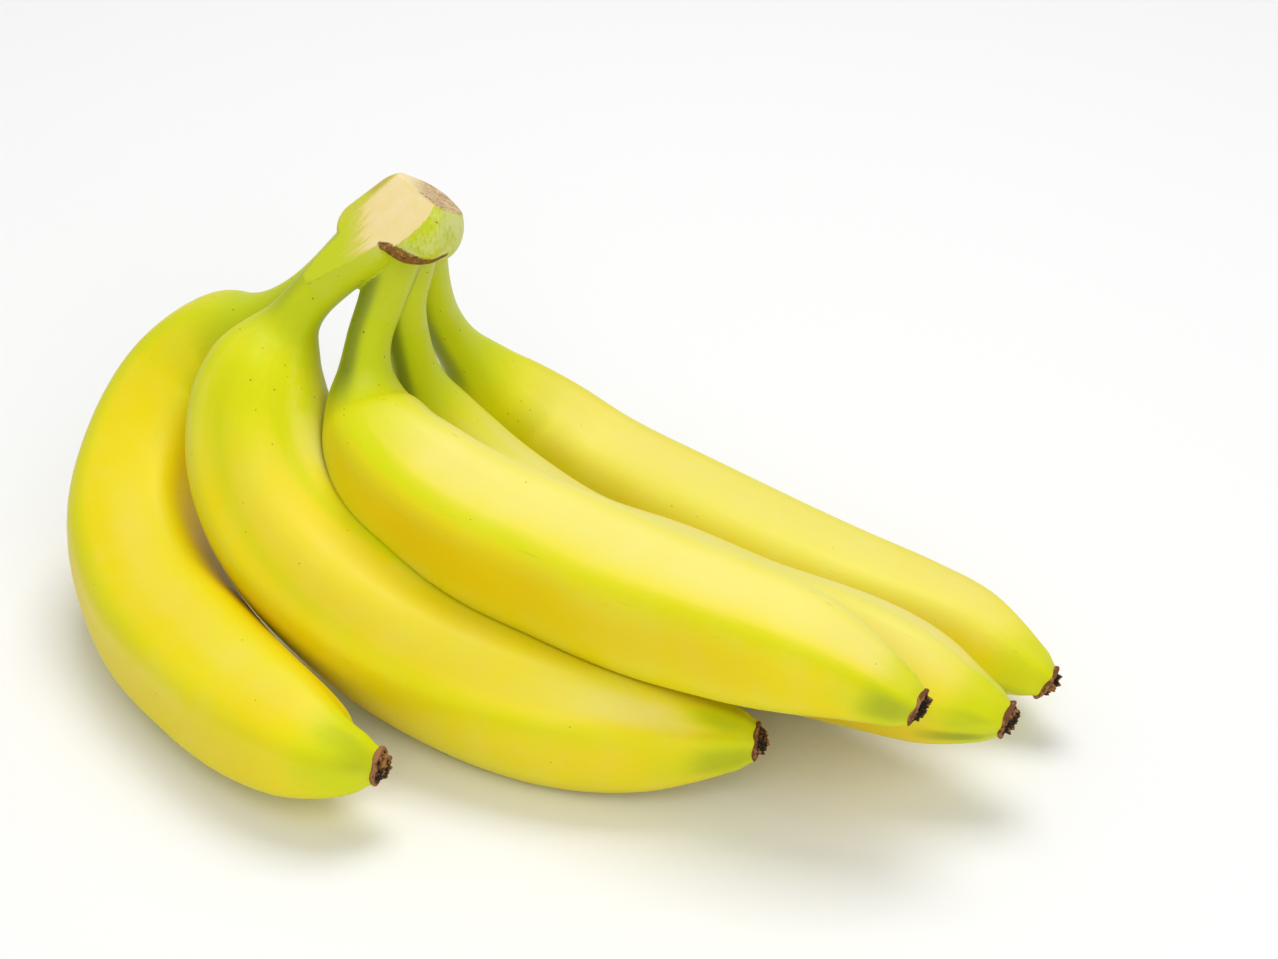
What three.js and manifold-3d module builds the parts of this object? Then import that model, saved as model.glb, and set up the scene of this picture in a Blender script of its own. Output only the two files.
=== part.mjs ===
// A hand of five bananas, still joined at the cut crown and lying on a table.
// Millimetres, +Z up. The origin is at table height, under the middle of the hand.
import * as THREE from 'three';
import { ConvexGeometry } from 'three/addons/geometries/ConvexGeometry.js';
import * as BufferGeometryUtils from 'three/addons/utils/BufferGeometryUtils.js';
import Module from 'manifold-3d';

// ---- Driving dimensions -------------------------------------------------------------------

// The middle of the hand in the layout below, moved to the origin.
const MIDDLE = new THREE.Vector3(-0.1, 10.3, 0);

// Girth along a fruit, root of the neck to tip: share of its length, radius in mm.
const GIRTH = [
  [0.00, 7.8], [0.06, 6.4], [0.13, 5.7], [0.19, 6.8], [0.24, 10.2], [0.30, 14.6], [0.38, 17.7],
  [0.51, 19.0], [0.68, 18.6], [0.80, 16.8], [0.88, 14.0], [0.94, 10.0], [0.98, 7.0], [1.00, 5.6],
];

// Where the fused base of each neck ends and the fruit begins, as a share of the length.
const NECK_SEAM = 0.11;
const SEAM_GAP = 0.3;
const TOUCH_GAP = 0.4;

// Five ridges run down a fruit. They stand out by this share of the radius, and fade in over
// this span of its length.
const RIDGES = 5;
const RIDGE_HEIGHT = 0.045;
const RIDGE_SPAN = [0.12, 0.40];

// The shoulder of a fruit may swell early: it starts, is full, fades and ends at these shares.
const SHOULDER = [0.10, 0.26, 0.30, 0.60];

// The tip of a fruit may taper late, past this share.
const TIP_FROM = 0.75;

// A fruit makes room for the one before it between these shares of that one's length, and the
// crown makes room for each fruit as far as NECK_ROOM.
const PRESS_SPAN = [0.20, 0.97];
const NECK_ROOM = 0.4;

// The fruits, left to right: girth factor, how early the shoulder swells and how late the tip
// tapers (as shares of the length), turn and winding of the ridges in degrees, and the spine
// from the crown to the tip.
const FRUITS = [
  {
    name: 'banana_1',
    girth: 0.96,
    early: 0.015,
    late: 0.04,
    turn: 9,
    wind: 0,
    spine: [
      [-41, 47, 102], [-49, 48, 94], [-56, 49, 86.5], [-65, 53, 77], [-75, 58, 68],
      [-84.5, 63.5, 60], [-93.5, 62.5, 49], [-101, 51, 36], [-103.5, 32, 26], [-95.5, 7, 18.4],
      [-81, -18, 17.4], [-65, -38.5, 18], [-51, -52, 18.5], [-40, -54, 17],
    ],
  },
  {
    name: 'banana_2',
    girth: 0.995,
    early: 0.095,
    late: 0.005,
    turn: 30,
    wind: 50,
    spine: [
      [-39, 41, 106], [-46, 39, 99.5], [-53, 39, 93], [-60.3, 38.3, 85.3], [-65.5, 38, 77],
      [-70, 35, 68], [-72, 30, 58], [-70, 20, 45], [-62.5, 10, 35], [-47.5, -2.5, 25.5],
      [-28, -16.5, 19.5], [-3, -31.5, 17.1], [22, -40.5, 17.1], [46, -44.5, 17],
    ],
  },
  {
    name: 'banana_3',
    girth: 0.94,
    early: 0.05,
    late: 0,
    turn: 30,
    wind: 15,
    spine: [
      [-37, 46, 102], [-39, 42, 95], [-42, 37, 87], [-45, 33, 79], [-46, 29.5, 71], [-45, 24, 64],
      [-39.5, 14, 57.5], [-28.5, 6, 51.5], [-16, -4, 48.5], [3, -15.5, 46], [22, -28.5, 45],
      [40, -39.5, 45], [62, -51.5, 43.5], [81, -60.5, 38],
    ],
  },
  {
    name: 'banana_4',
    girth: 0.94,
    early: 0.01,
    late: 0.03,
    turn: 49,
    wind: 0,
    spine: [
      [-35, 50, 99], [-36, 47, 92], [-37.5, 44, 83], [-36.5, 44, 72], [-34, 45, 59.5],
      [-29, 44, 48], [-21.5, 39, 37], [-13, 33, 30], [2, 21, 25], [22, 8, 24.5], [42, -6, 24],
      [60, -18.5, 26], [76, -30, 27], [90, -39, 25.5], [103, -45, 23.5],
    ],
  },
  {
    name: 'banana_5',
    girth: 0.93,
    early: 0.02,
    late: 0.012,
    turn: 56,
    wind: 10,
    spine: [
      [-34, 58, 95], [-33.5, 57, 87], [-31.5, 58.5, 75], [-28, 63.5, 63], [-23, 68, 52],
      [-17, 71, 41], [-8, 72, 30], [7, 66, 20], [27, 49, 17.3], [47, 31.5, 17.2], [66, 16.5, 17.2],
      [84, 4.5, 17.3], [98, -4.5, 17.5], [115, -17.5, 14.5],
    ],
  },
];

// The crown is the skin stretched over these lumps, each a middle and three half-axes.
const CROWN_LUMPS = [
  { middle: [-36, 46, 105.5], half: [9.5, 9, 10] },
  { middle: [-45.2, 45, 101.5], half: [7.5, 7, 7.5] },
  { middle: [-33, 56, 99], half: [9, 9, 9] },
  { middle: [-29.5, 39.3, 106.6], half: [7.6, 9.5, 9] },
  { middle: [-38, 36.5, 106.5], half: [5.5, 5.5, 5.5] },
];

// The fresh cut, the old cut and the front lobe's facet: outward normal and distance from
// the layout's origin.
const CROWN_CUTS = [
  { normal: [-0.501, -0.468, 0.728], distance: 81.1 },
  { normal: [0.534, 0.295, 0.793], distance: 85.4 },
  { normal: [-0.21, -0.784, 0.584], distance: 45.3 },
];

// The scar rim under the crown's front lobe.
const RIM_PATH = [
  [-42.4, 34, 104.1], [-40.3, 32.3, 103.8], [-37.9, 31.3, 103.2], [-35.5, 31.2, 102],
  [-33.2, 31.2, 101.3], [-30.8, 31.8, 100.8], [-28.4, 33.3, 100.3], [-26.3, 36, 99.9],
];
const RIM_RADIUS = 1.5;
const RIM_END_RADIUS = 0.4;

// The dried flower end: distance from the tip against radius, both in mm.
const FLOWER_END = [
  [0.3, 0], [0.3, 5.3], [1.6, 5.8], [2.8, 5.9], [3.7, 5.1], [3.4, 3.8], [2.6, 2.2], [2.3, 0],
];

// How finely each form is faceted.
const SIDES = 20;
const FRUIT_RINGS = 28;
const NECK_RINGS = 5;
const ROOM_RINGS = 12;
const END_SIDES = 14;
const RIM_SIDES = 10;
const RIM_RINGS = 12;
const LUMP_SIDES = 16;
const LUMP_RINGS = 10;

// Frames along a path, and the share of its length where they lie square to its bend.
const FRAMES = 200;
const LEVEL = 0.6;

// Corners closer than this are one corner. A block this large is beyond anything it cuts.
const MERGE_WITHIN = 0.001;
const BLOCK = 500;

// ---- Shapes ---------------------------------------------------------------------------------

const wasm = await Module();
wasm.setup();

// A smooth value between the rows of a two-column table.
function tableAt(table, x) {
  const last = table.length - 1;
  let i = 0;
  while (i < last - 1 && x > table[i + 1][0]) i += 1;
  const slope = (k) => {
    const a = table[Math.max(k - 1, 0)];
    const b = table[Math.min(k + 1, last)];
    return (b[1] - a[1]) / (b[0] - a[0]);
  };
  const [x0, y0] = table[i];
  const [x1, y1] = table[i + 1];
  const width = x1 - x0;
  const t = THREE.MathUtils.clamp((x - x0) / width, 0, 1);
  const rise = t * t * (3 - 2 * t);
  const lead = t * (1 - t) * (1 - t) * width * slope(i);
  const trail = t * t * (t - 1) * width * slope(i + 1);
  return y0 + rise * (y1 - y0) + lead + trail;
}

// The part of a direction that is square to another.
function square(vector, along) {
  return vector.clone().addScaledVector(along, -vector.dot(along)).normalize();
}

// Sideways directions along a path, carried along it with no twist.
function sidesOf(curve) {
  const along = Array.from({ length: FRAMES + 1 }, (_, i) => curve.getTangentAt(i / FRAMES));
  const axis = new THREE.Vector3();
  for (let i = 0; i < FRAMES; i += 1) axis.add(along[i].clone().cross(along[i + 1]));
  const level = Math.round(LEVEL * FRAMES);
  const sides = [];
  sides[level] = square(axis, along[level]);
  for (let i = level + 1; i <= FRAMES; i += 1) sides[i] = square(sides[i - 1], along[i]);
  for (let i = level - 1; i >= 0; i -= 1) sides[i] = square(sides[i + 1], along[i]);
  return sides;
}

// A closed solid round part of a path. radiusAt gives the radius for a share and an angle.
function sweep(curve, radiusAt, from, to, sides, rings) {
  const geometry = new THREE.CylinderGeometry(1, 1, 1, sides, rings);
  const frames = sidesOf(curve);
  const place = geometry.attributes.position;
  const corner = new THREE.Vector3();
  for (let i = 0; i < place.count; i += 1) {
    corner.fromBufferAttribute(place, i);
    const share = THREE.MathUtils.lerp(to, from, corner.y + 0.5);
    const angle = Math.atan2(corner.x, corner.z);
    const reach = Math.hypot(corner.x, corner.z) * radiusAt(share, angle);
    const along = curve.getTangentAt(share);
    const side = square(frames[Math.round(share * FRAMES)], along);
    const up = new THREE.Vector3().crossVectors(along, side);
    corner.copy(curve.getPointAt(share));
    corner.addScaledVector(side, -reach * Math.cos(angle));
    corner.addScaledVector(up, reach * Math.sin(angle));
    place.setXYZ(i, corner.x, corner.y, corner.z);
  }
  return geometry;
}

// The five-sided radius of a fruit, with a clearance outside it. The neck is nearly round.
function fruitRadius(fruit, clearance = 0) {
  const { degToRad, smoothstep } = THREE.MathUtils;
  const [start, full, fade, end] = SHOULDER;
  return (share, angle) => {
    const shoulder = smoothstep(share, start, full) * (1 - smoothstep(share, fade, end));
    const tip = Math.sin((Math.PI * Math.max(share - TIP_FROM, 0)) / (1 - TIP_FROM));
    const read = share + fruit.early * shoulder - fruit.late * tip;
    const turned = angle - degToRad(fruit.turn + fruit.wind * (share - LEVEL));
    const ridge = RIDGE_HEIGHT * smoothstep(share, ...RIDGE_SPAN) * Math.cos(RIDGES * turned);
    return fruit.girth * tableAt(GIRTH, read) * (1 + ridge) + clearance;
  };
}

function fruitCurve(fruit) {
  const points = fruit.spine.map(([x, y, z]) => new THREE.Vector3(x, y, z));
  return new THREE.CatmullRomCurve3(points);
}

function solidOf(geometry) {
  const plain = geometry.clone();
  plain.deleteAttribute('normal');
  plain.deleteAttribute('uv');
  const merged = BufferGeometryUtils.mergeVertices(plain, MERGE_WITHIN);
  const vertProperties = new Float32Array(merged.attributes.position.array);
  const triVerts = new Uint32Array(merged.index.array);
  return new wasm.Manifold(new wasm.Mesh({ numProp: 3, vertProperties, triVerts }));
}

function geometryOf(solid) {
  const mesh = solid.getMesh();
  const geometry = new THREE.BufferGeometry();
  geometry.setAttribute('position', new THREE.BufferAttribute(mesh.vertProperties, 3));
  geometry.setIndex(new THREE.BufferAttribute(mesh.triVerts, 1));
  return geometry;
}

function coreSolid() {
  const points = [];
  for (const { middle, half } of CROWN_LUMPS) {
    const lump = new THREE.SphereGeometry(1, LUMP_SIDES, LUMP_RINGS);
    lump.scale(...half);
    lump.translate(...middle);
    const place = lump.attributes.position;
    for (let i = 0; i < place.count; i += 1) {
      points.push(new THREE.Vector3().fromBufferAttribute(place, i));
    }
  }
  return solidOf(new ConvexGeometry(points));
}

// A large block on the outer side of a cut.
function cutSolid({ normal, distance }) {
  const geometry = new THREE.BoxGeometry(BLOCK, BLOCK, BLOCK);
  const out = new THREE.Vector3(...normal);
  const away = distance / out.length() + BLOCK / 2;
  out.normalize();
  const turn = new THREE.Quaternion().setFromUnitVectors(new THREE.Vector3(0, 0, 1), out);
  const middle = out.clone().multiplyScalar(away);
  geometry.applyQuaternion(turn);
  geometry.translate(middle.x, middle.y, middle.z);
  return solidOf(geometry);
}

// Everything below the table top, which leaves each resting belly a small flat.
function tableSolid() {
  const geometry = new THREE.BoxGeometry(BLOCK, BLOCK, BLOCK);
  geometry.translate(0, 0, -BLOCK / 2);
  return solidOf(geometry);
}

function crownSolid() {
  let solid = coreSolid();
  for (const fruit of FRUITS) {
    const neck = sweep(fruitCurve(fruit), fruitRadius(fruit), 0, NECK_SEAM, SIDES, NECK_RINGS);
    solid = solid.add(solidOf(neck));
  }
  for (const cut of CROWN_CUTS) solid = solid.subtract(cutSolid(cut));
  solid = solid.add(rimSolid());
  for (const fruit of FRUITS) {
    const wide = fruitRadius(fruit, TOUCH_GAP);
    const room = sweep(fruitCurve(fruit), wide, NECK_SEAM, NECK_ROOM, SIDES, ROOM_RINGS);
    solid = solid.subtract(solidOf(room));
  }
  return solid;
}

function rimSolid() {
  const points = RIM_PATH.map(([x, y, z]) => new THREE.Vector3(x, y, z));
  const curve = new THREE.CatmullRomCurve3(points);
  const radiusAt = (share) => {
    const swell = Math.sin(Math.PI * share);
    return THREE.MathUtils.lerp(RIM_END_RADIUS, RIM_RADIUS, swell);
  };
  return solidOf(sweep(curve, radiusAt, 0, 1, RIM_SIDES, RIM_RINGS));
}

// A fruit gives way where the one before it presses on its side.
function fruitSolid(fruit, before) {
  const curve = fruitCurve(fruit);
  const start = NECK_SEAM + SEAM_GAP / curve.getLength();
  const body = sweep(curve, fruitRadius(fruit), start, 1, SIDES, FRUIT_RINGS);
  let solid = solidOf(body).subtract(tableSolid());
  if (before) {
    const wide = fruitRadius(before, TOUCH_GAP);
    const room = sweep(fruitCurve(before), wide, ...PRESS_SPAN, SIDES, FRUIT_RINGS);
    solid = solid.subtract(solidOf(room));
  }
  return solid;
}

function flowerEndSolid(fruit) {
  const profile = FLOWER_END.map(([along, radius]) => new THREE.Vector2(radius, along));
  const geometry = new THREE.LatheGeometry(profile, END_SIDES);
  const curve = fruitCurve(fruit);
  const turn = new THREE.Quaternion();
  turn.setFromUnitVectors(new THREE.Vector3(0, 1, 0), curve.getTangentAt(1));
  geometry.applyQuaternion(turn);
  const tip = curve.getPointAt(1);
  geometry.translate(tip.x, tip.y, tip.z);
  return solidOf(geometry);
}

// ---- The hand -------------------------------------------------------------------------------

const FINISHES = {
  skin: new THREE.Color(0.90, 0.83, 0.12),
  crown: new THREE.Color(0.72, 0.76, 0.25),
  dried: new THREE.Color(0.20, 0.13, 0.08),
};

function node(name, solid, color) {
  const geometry = geometryOf(solid);
  geometry.translate(-MIDDLE.x, -MIDDLE.y, -MIDDLE.z);
  geometry.computeVertexNormals();
  const mesh = new THREE.Mesh(geometry, new THREE.MeshStandardMaterial({ color, roughness: 0.5 }));
  mesh.name = name;
  return mesh;
}

const hand = new THREE.Group();
hand.name = 'banana_hand';
hand.add(node('crown', crownSolid(), FINISHES.crown));
FRUITS.forEach((fruit, i) => {
  hand.add(node(fruit.name, fruitSolid(fruit, FRUITS[i - 1]), FINISHES.skin));
});
for (const fruit of FRUITS) {
  const name = fruit.name.replace('banana', 'flower_end');
  hand.add(node(name, flowerEndSolid(fruit), FINISHES.dried));
}

export default hand;
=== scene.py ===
"""Looks for a hand of five bananas: skins, cut crown, scar rim and dried flower ends."""

import logging
import math
from dataclasses import dataclass, field
from enum import Enum
from typing import Callable, Sequence

import bpy
import numpy as np
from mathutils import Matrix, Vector


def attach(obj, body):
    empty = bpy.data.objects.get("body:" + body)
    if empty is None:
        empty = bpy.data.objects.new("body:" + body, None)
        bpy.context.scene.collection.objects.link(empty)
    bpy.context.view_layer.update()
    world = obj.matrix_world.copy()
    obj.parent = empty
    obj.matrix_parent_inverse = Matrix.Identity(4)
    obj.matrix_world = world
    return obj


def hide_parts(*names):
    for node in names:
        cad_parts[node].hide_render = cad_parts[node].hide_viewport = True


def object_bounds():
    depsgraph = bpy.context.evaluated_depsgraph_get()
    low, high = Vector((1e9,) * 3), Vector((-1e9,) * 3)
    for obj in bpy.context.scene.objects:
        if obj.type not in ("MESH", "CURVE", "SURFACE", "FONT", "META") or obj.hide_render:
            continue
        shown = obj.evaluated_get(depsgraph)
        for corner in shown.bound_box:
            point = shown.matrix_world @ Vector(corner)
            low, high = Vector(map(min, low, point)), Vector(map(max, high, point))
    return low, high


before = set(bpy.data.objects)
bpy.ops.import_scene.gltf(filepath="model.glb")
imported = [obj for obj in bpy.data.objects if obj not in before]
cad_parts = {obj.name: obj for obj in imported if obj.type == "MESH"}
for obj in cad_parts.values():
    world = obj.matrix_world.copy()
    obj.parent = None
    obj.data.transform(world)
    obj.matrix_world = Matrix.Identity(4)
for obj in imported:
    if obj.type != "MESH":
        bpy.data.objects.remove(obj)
CAD_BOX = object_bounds()

LOG = logging.getLogger("bananas")

Array = np.ndarray
Piece = bpy.types.Object
Material = bpy.types.Material
Triple = tuple[float, float, float]

MM = 0.001
SEED = 7

# The middle of the hand in the layout below, in mm. It becomes the origin.
MIDDLE = (-0.1, 10.3, 0.0)

# Girth along a fruit, root of the neck to tip: share of its length, radius in mm.
GIRTH = (
    (0.00, 7.8), (0.06, 6.4), (0.13, 5.7), (0.19, 6.8), (0.24, 10.2), (0.30, 14.6), (0.38, 17.7),
    (0.51, 19.0), (0.68, 18.6), (0.80, 16.8), (0.88, 14.0), (0.94, 10.0), (0.98, 7.0), (1.00, 5.6),
)

# Shader constants of what is juicy under its skin.
FLESHY = {"Subsurface_Weight": 0.10, "Subsurface_Scale": 0.003}

# Where the fused base of a neck ends and the fruit begins, as a share of the length.
NECK_SEAM = 0.11


class Body(Enum):
    """The CAD body that the pieces ride on."""

    ROOT = "root"


class Tint(Enum):
    """The tints washed over a fruit's yellow. Some are painted light: warm shade on the lower flanks, pale
    highlight on the upper faces, and dark olive shade on the necks.
    """

    GREEN = "green"
    # Painted warm shade on the lower flanks and where the fruits touch.
    WARM_SHADE = "warm_and_shade"
    # Pale: mostly painted highlight on the upper faces, with a few real pale bands by the neck and tip.
    PALE_AND_HIGHLIGHT = "pale"
    # Dark olive: painted shade on the necks' flanks between neighbours, and real olive smudges at the tips.
    OLIVE_AND_SHADE = "deep"


class Slot(Enum):
    """The record's material slots."""

    SKIN = "skin"
    CROWN = "crown"
    FLOWER_END = "flower_end"


# ---- Small helpers ----


def place(point: Sequence[float]) -> Vector:
    """Turns a layout point in mm into the frame's metres, with the hand's middle at the origin."""
    return Vector([(p - m) * MM for p, m in zip(point, MIDDLE)])


def smoothstep(low: float, high: float, x: Array) -> Array:
    """A soft step from 0 at low to 1 at high. low may be the larger of the two."""
    t = np.clip((x - low) / (high - low), 0, 1)
    return t * t * (3 - 2 * t)


def ramp(points: Array, axis: int, start: float, end: float) -> Array:
    """A soft step from 0 to 1 between two layout places in mm along an axis."""
    low, high = (place((edge, edge, edge))[axis] for edge in (start, end))
    return smoothstep(low, high, points[:, axis])


def table_at(table: Sequence[Sequence[float]], x: Array) -> Array:
    """Reads a smooth value between the rows of a two-column table.

    Args:
        table: rows of position and value, in rising order of position.
        x: positions to read at.

    Returns:
        The values, by a cubic through the rows.
    """
    xs, ys = np.array(table, float).T
    last = len(xs) - 1
    lower = np.maximum(np.arange(last + 1) - 1, 0)
    upper = np.minimum(np.arange(last + 1) + 1, last)
    slope = (ys[upper] - ys[lower]) / (xs[upper] - xs[lower])
    i = np.clip(np.searchsorted(xs, x, side="left") - 1, 0, last - 1)
    width = xs[i + 1] - xs[i]
    t = np.clip((x - xs[i]) / width, 0, 1)
    rise = t * t * (3 - 2 * t)
    lead = t * (1 - t) ** 2 * width * slope[i]
    trail = t * t * (t - 1) * width * slope[i + 1]
    return ys[i] + rise * (ys[i + 1] - ys[i]) + lead + trail


def deselect() -> None:
    """Leaves edit mode and deselects everything."""
    if bpy.context.object and bpy.context.object.mode != "OBJECT":
        bpy.ops.object.mode_set(mode="OBJECT")
    bpy.ops.object.select_all(action="DESELECT")


def activate(piece: Piece) -> None:
    """Makes a piece the only selected and active one."""
    deselect()
    piece.select_set(True)
    bpy.context.view_layer.objects.active = piece


def settle(piece: Piece) -> None:
    """Applies a piece's place, turn and scale to its mesh."""
    activate(piece)
    bpy.ops.object.transform_apply(location=True, rotation=True, scale=True)


def modify(piece: Piece, kind: str, **settings: object) -> None:
    """Adds a modifier of that kind, with those settings, and applies it."""
    activate(piece)
    modifier = piece.modifiers.new(kind.lower(), kind)
    for name, value in settings.items():
        setattr(modifier, name, value)
    bpy.ops.object.modifier_apply(modifier=modifier.name)


def corners(piece: Piece) -> Array:
    """Reads a mesh's vertices as an array of points, in metres."""
    flat = np.zeros(len(piece.data.vertices) * 3, np.float32)
    piece.data.vertices.foreach_get("co", flat)
    return flat.reshape(-1, 3).astype(float)


def set_corners(piece: Piece, points: Array) -> None:
    """Writes a mesh's vertices from an array of points, in metres."""
    piece.data.vertices.foreach_set("co", points.astype(np.float32).ravel())
    piece.data.update()


def store(piece: Piece, **layers: Array) -> None:
    """Keeps one number, or three, for each vertex as the mesh's attributes of those names."""
    for name, values in layers.items():
        vector = values.ndim == 2
        layer = piece.data.attributes.new(name, "FLOAT_VECTOR" if vector else "FLOAT", "POINT")
        layer.data.foreach_set("vector" if vector else "value", values.astype(np.float32).ravel())


def join(name: str, pieces: Sequence[Piece]) -> Piece:
    """Joins pieces into the first one and names it."""
    deselect()
    for piece in pieces:
        piece.select_set(True)
    bpy.context.view_layer.objects.active = pieces[0]
    bpy.ops.object.join()
    pieces[0].name = name
    return pieces[0]


def sleeve(name: str, rings: Sequence[tuple[float, float]], around: int) -> Piece:
    """Extrudes a ring straight up, to be bent along a path later.

    Args:
        name: the new object's name.
        rings: height and radius of each ring, from the first to the last.
        around: how many vertices a ring has.

    Returns:
        An open tube of quads.
    """
    deselect()
    height, radius = rings[0]
    bpy.ops.mesh.primitive_circle_add(vertices=around, radius=radius, location=(0, 0, height))
    tube = bpy.context.object
    tube.name = name
    settle(tube)
    bpy.ops.object.mode_set(mode="EDIT")
    bpy.ops.mesh.select_all(action="SELECT")
    for next_height, next_radius in rings[1:]:
        lift = (0, 0, next_height - height)
        bpy.ops.mesh.extrude_region_move(TRANSFORM_OT_translate={"value": lift})
        grow = next_radius / radius
        bpy.ops.transform.resize(value=(grow, grow, 1), center_override=(0, 0, next_height))
        height, radius = next_height, next_radius
    bpy.ops.object.mode_set(mode="OBJECT")
    return tube


def close(piece: Piece, angle: float = 50) -> None:
    """Fills a piece's open ends, turns its faces outward and shades it smooth.

    Args:
        piece: the mesh object.
        angle: edges sharper than this, in degrees, stay sharp.
    """
    activate(piece)
    bpy.ops.object.mode_set(mode="EDIT")
    bpy.ops.mesh.select_all(action="DESELECT")
    bpy.ops.mesh.select_mode(type="VERT")
    bpy.ops.mesh.select_non_manifold()
    bpy.ops.mesh.fill_holes(sides=0)
    bpy.ops.mesh.select_all(action="SELECT")
    bpy.ops.mesh.normals_make_consistent(inside=False)
    bpy.ops.object.mode_set(mode="OBJECT")
    bpy.ops.object.shade_smooth_by_angle(angle=math.radians(angle))


def noise_at(points: Array, size: float, seed: int) -> Array:
    """Smooth noise from -1 to 1, as a sum of waves in random directions.

    Args:
        points: places to read at, in metres.
        size: how far apart its bumps are, in metres.
        seed: which noise.

    Returns:
        One value for each point.
    """
    count, pitch = 14, 2.2
    rng = np.random.default_rng(SEED * 1000 + seed)
    waves = rng.normal(size=(count, 3)) * pitch / size
    phase = rng.uniform(0, 2 * math.pi, count)
    return np.sin(points @ waves.T + phase).sum(axis=1) / math.sqrt(count)


def dress(piece: Piece, finish: Material, slot: Slot, *nodes: str) -> None:
    """Gives a piece its finish and body, and hides the CAD nodes that it stands for.

    Args:
        piece: the finished mesh object.
        finish: its material.
        slot: the record's slot. Not used.
        *nodes: CAD nodes that it replaces.
    """
    piece.data.materials.clear()
    piece.data.materials.append(finish)
    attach(piece, Body.ROOT.value)
    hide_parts(*nodes)
    LOG.info("%s: %d faces", piece.name, len(piece.data.polygons))


# ---- Paths ----


class Path:
    """A smooth path through a few points, read by its share of the length.

    It is traced in FINE steps and kept as SAMPLES. Its side lies level at the LEVEL share. Points are
    looked up BATCH at a time.
    """

    FINE = 1600
    SAMPLES = 400
    LEVEL = 0.6
    BATCH = 4000

    def __init__(self, points: Sequence[Sequence[float]]) -> None:
        """Makes the path.

        Args:
            points: layout points in mm, from start to end.
        """
        knots = np.array([place(p) for p in points], float)
        curve = self._curve(knots, self.FINE)
        steps = np.linalg.norm(np.diff(curve, axis=0), axis=1)
        run = np.concatenate([[0], np.cumsum(steps)])
        self.length = float(run[-1])
        at = np.linspace(0, self.length, self.SAMPLES)
        self.shares = at / self.length
        self.points = np.stack([np.interp(at, run, curve[:, k]) for k in range(3)], 1)
        along = np.gradient(self.points, axis=0)
        self.along = along / np.linalg.norm(along, axis=1)[:, None]
        turning = np.cross(self.along[:-1], self.along[1:]).sum(axis=0)
        self.side = self._untwisted(turning / np.linalg.norm(turning))
        self.up = np.cross(self.along, self.side)

    def _untwisted(self, axis: Array) -> Array:
        """Carries a sideways direction along the path with no twist.

        Args:
            axis: the direction that the side comes closest to at the level share.

        Returns:
            The side at each sample.
        """
        level = int(self.LEVEL * (self.SAMPLES - 1))
        side = np.zeros_like(self.along)
        side[level] = self._square(axis, self.along[level])
        for i in range(level + 1, self.SAMPLES):
            side[i] = self._square(side[i - 1], self.along[i])
        for i in range(level - 1, -1, -1):
            side[i] = self._square(side[i + 1], self.along[i])
        return side

    @staticmethod
    def _square(vector: Array, along: Array) -> Array:
        """The part of a vector that is square to a direction, at length 1."""
        part = vector - along * (vector @ along)
        return part / np.linalg.norm(part)

    @staticmethod
    def _curve(knots: Array, count: int) -> Array:
        """Follows the knots by a centripetal Catmull-Rom curve.

        Args:
            knots: the points to pass through.
            count: how many points to return.

        Returns:
            Points along the curve.
        """
        ends = np.vstack([2 * knots[0] - knots[1], knots, 2 * knots[-1] - knots[-2]])
        made = []
        for u in np.linspace(0, len(knots) - 1, count):
            i = min(int(u), len(knots) - 2)
            w = u - i
            p0, p1, p2, p3 = ends[i : i + 4]
            d0, d1, d2 = (math.sqrt(np.linalg.norm(b - a)) for a, b in ((p0, p1), (p1, p2), (p2, p3)))
            t1 = ((p1 - p0) / d0 - (p2 - p0) / (d0 + d1) + (p2 - p1) / d1) * d1
            t2 = ((p2 - p1) / d1 - (p3 - p1) / (d1 + d2) + (p3 - p2) / d2) * d1
            bend = -3 * p1 + 3 * p2 - 2 * t1 - t2
            twist = 2 * p1 - 2 * p2 + t1 + t2
            made.append(p1 + t1 * w + bend * w**2 + twist * w**3)
        return np.array(made)

    def read(self, rows: Array, share: Array) -> Array:
        """One of the path's rows of vectors, read at shares of the length."""
        return np.stack([np.interp(share, self.shares, rows[:, k]) for k in range(3)], 1)

    def around(self, share: Array, angle: Array, reach: Array) -> Array:
        """Points beside the path.

        Args:
            share: shares of the length. Beyond 0 and 1 the path runs on straight.
            angle: angles round the path.
            reach: distances from it, in metres.

        Returns:
            One point of the frame for each.
        """
        rows = (self.points, self.along, self.side, self.up)
        spot, along, side, up = (self.read(row, share) for row in rows)
        beyond = share - np.clip(share, 0, 1)
        spot = spot + along * (beyond * self.length)[:, None]
        out = up * np.sin(angle)[:, None] - side * np.cos(angle)[:, None]
        return spot + out * reach[:, None]

    def nearest(self, points: Array) -> tuple[Array, Array, Array]:
        """Finds where points lie beside the path.

        Args:
            points: places in metres.

        Returns:
            For each point, the share of the length, the angle round the path and the distance.
        """
        found = []
        for first in range(0, len(points), self.BATCH):
            some = points[first : first + self.BATCH]
            gap = ((some[:, None, :] - self.points[None]) ** 2).sum(axis=2)
            i = gap.argmin(axis=1)
            out = some - self.points[i]
            ahead = (out * self.along[i]).sum(axis=1)
            out = out - ahead[:, None] * self.along[i]
            x = -(out * self.side[i]).sum(axis=1)
            y = (out * self.up[i]).sum(axis=1)
            found.append((self.shares[i] + ahead / self.length, np.arctan2(y, x), np.hypot(x, y)))
        share, angle, away = (np.concatenate(column) for column in zip(*found))
        return share, angle, away


def bend(piece: Piece, path: Path, reach: Callable[[Array, Array], Array]) -> None:
    """Bends a sleeve, whose heights are shares, along a path at the reach for them, and closes it."""
    straight = corners(piece)
    share = straight[:, 2]
    angle = np.arctan2(straight[:, 1], straight[:, 0])
    set_corners(piece, path.around(share, angle, reach(share, angle)))
    close(piece)


# ---- Shader maths ----


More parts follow.
